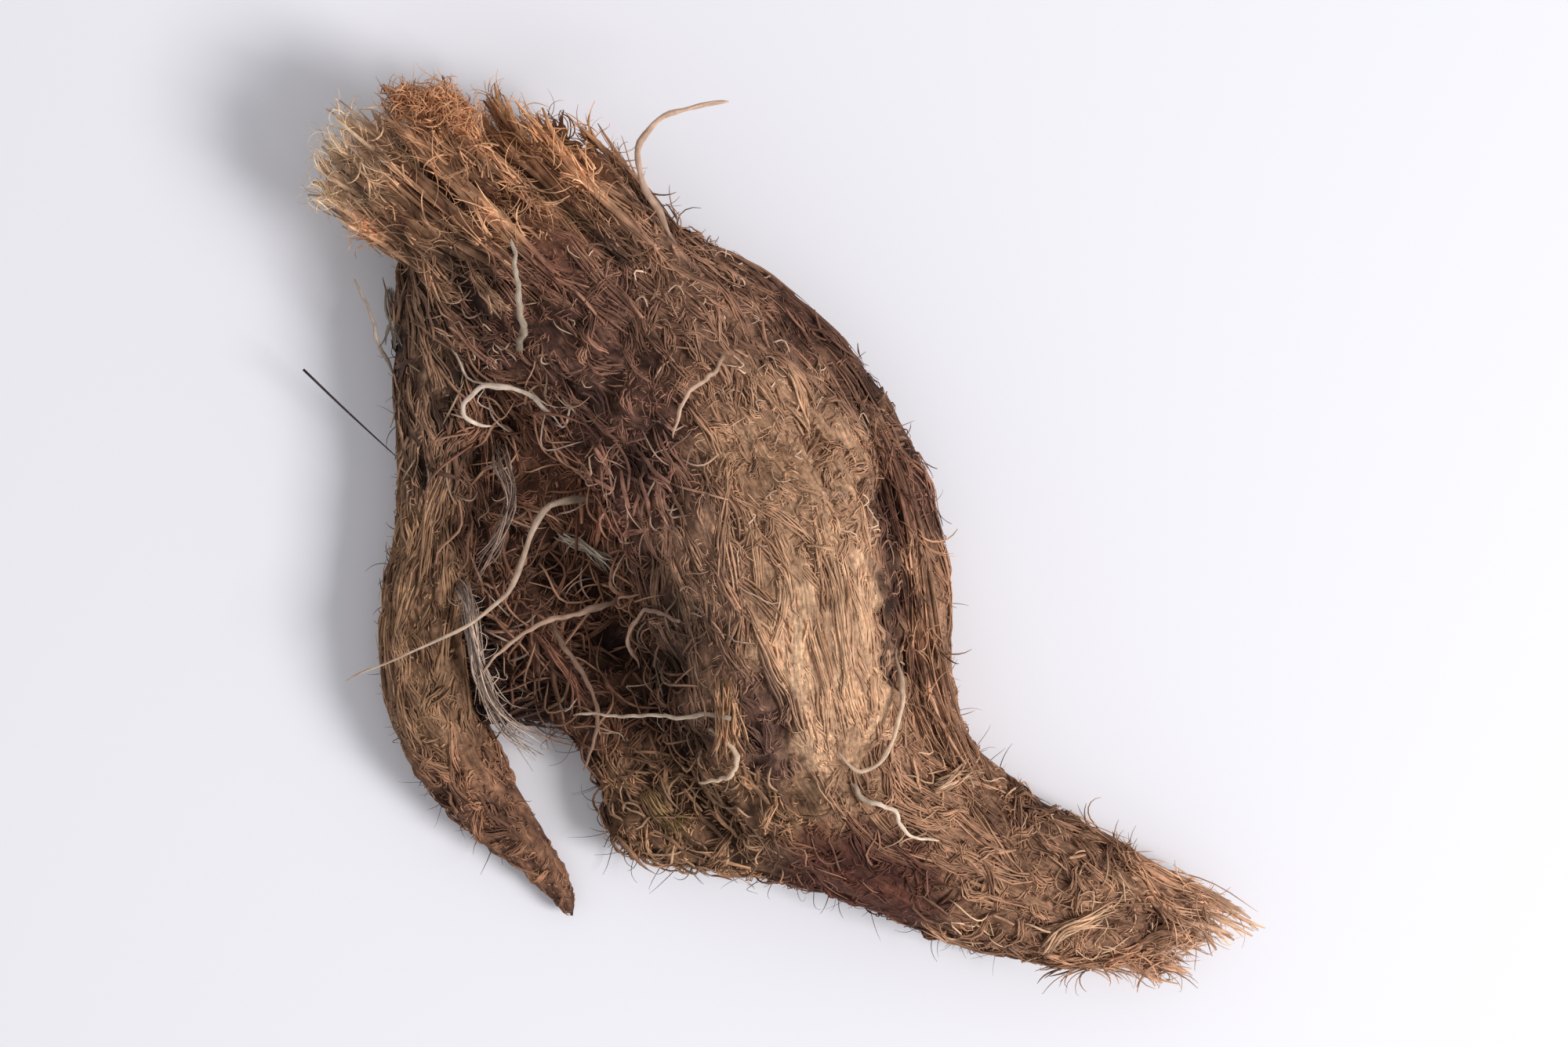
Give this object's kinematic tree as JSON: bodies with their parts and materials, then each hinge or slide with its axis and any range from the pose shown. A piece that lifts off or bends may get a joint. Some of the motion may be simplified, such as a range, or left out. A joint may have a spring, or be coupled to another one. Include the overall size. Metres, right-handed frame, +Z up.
{
  "type": "jatamansi root",
  "caption": "Dried jatamansi (spikenard) root: a forked, felted rhizome with a frayed crown of leaf bases, a torn lower end and wiry rootlets.",
  "frame": {"origin": "middle of the footprint, on the surface that the root lies on", "axes": "+Z up from the surface; the crown of leaf bases is at -X +Y and the torn lower end at +X -Y"},
  "size_m": [0.061, 0.0588, 0.015],
  "materials": {
    "rhizome_coat": "matte",
    "leaf_sheath": "matte",
    "root_skin": "matte"
  },
  "bodies": {
    "root": {"rhizome": "rhizome_coat", "body_rootlet": "root_skin", "branch_rootlet": "root_skin", "crown_loop_rootlet": "root_skin", "crown_tuft": "leaf_sheath", "curled_rootlet": "root_skin", "edge_rootlet": "root_skin", "forked_rootlet": "root_skin", "hooked_rootlet": "root_skin", "long_pale_rootlet": "root_skin", "looped_rootlet": "root_skin", "lower_leaf_base_01": "leaf_sheath", "lower_leaf_base_02": "leaf_sheath", "lower_leaf_base_03": "leaf_sheath", "lower_leaf_base_04": "leaf_sheath", "lower_leaf_base_05": "leaf_sheath", "lower_leaf_base_06": "leaf_sheath", "lower_torn_fibre_01": "leaf_sheath", "lower_torn_fibre_02": "leaf_sheath", "lower_torn_fibre_03": "leaf_sheath", "middle_leaf_base_01": "leaf_sheath", "middle_leaf_base_02": "leaf_sheath", "middle_leaf_base_03": "leaf_sheath", "middle_leaf_base_04": "leaf_sheath", "middle_leaf_base_05": "leaf_sheath", "middle_leaf_base_06": "leaf_sheath", "middle_leaf_base_07": "leaf_sheath", "middle_leaf_base_08": "leaf_sheath", "neck_rootlet": "root_skin", "sheath_strap": "leaf_sheath", "small_curl_rootlet": "root_skin", "straight_rootlet": "root_skin", "upper_leaf_base_01": "leaf_sheath", "upper_leaf_base_02": "leaf_sheath", "upper_leaf_base_03": "leaf_sheath", "upper_leaf_base_04": "leaf_sheath", "upper_leaf_base_05": "leaf_sheath", "upper_leaf_base_06": "leaf_sheath", "upper_leaf_base_07": "leaf_sheath", "upper_leaf_base_08": "leaf_sheath", "upper_leaf_base_09": "leaf_sheath", "upper_leaf_base_10": "leaf_sheath", "upper_torn_fibre_01": "leaf_sheath", "upper_torn_fibre_02": "leaf_sheath", "upper_torn_fibre_03": "leaf_sheath", "upper_torn_fibre_04": "leaf_sheath", "valley_rootlet_1": "root_skin", "valley_rootlet_2": "root_skin", "zigzag_rootlet": "root_skin"}
  },
  "joints": []
}
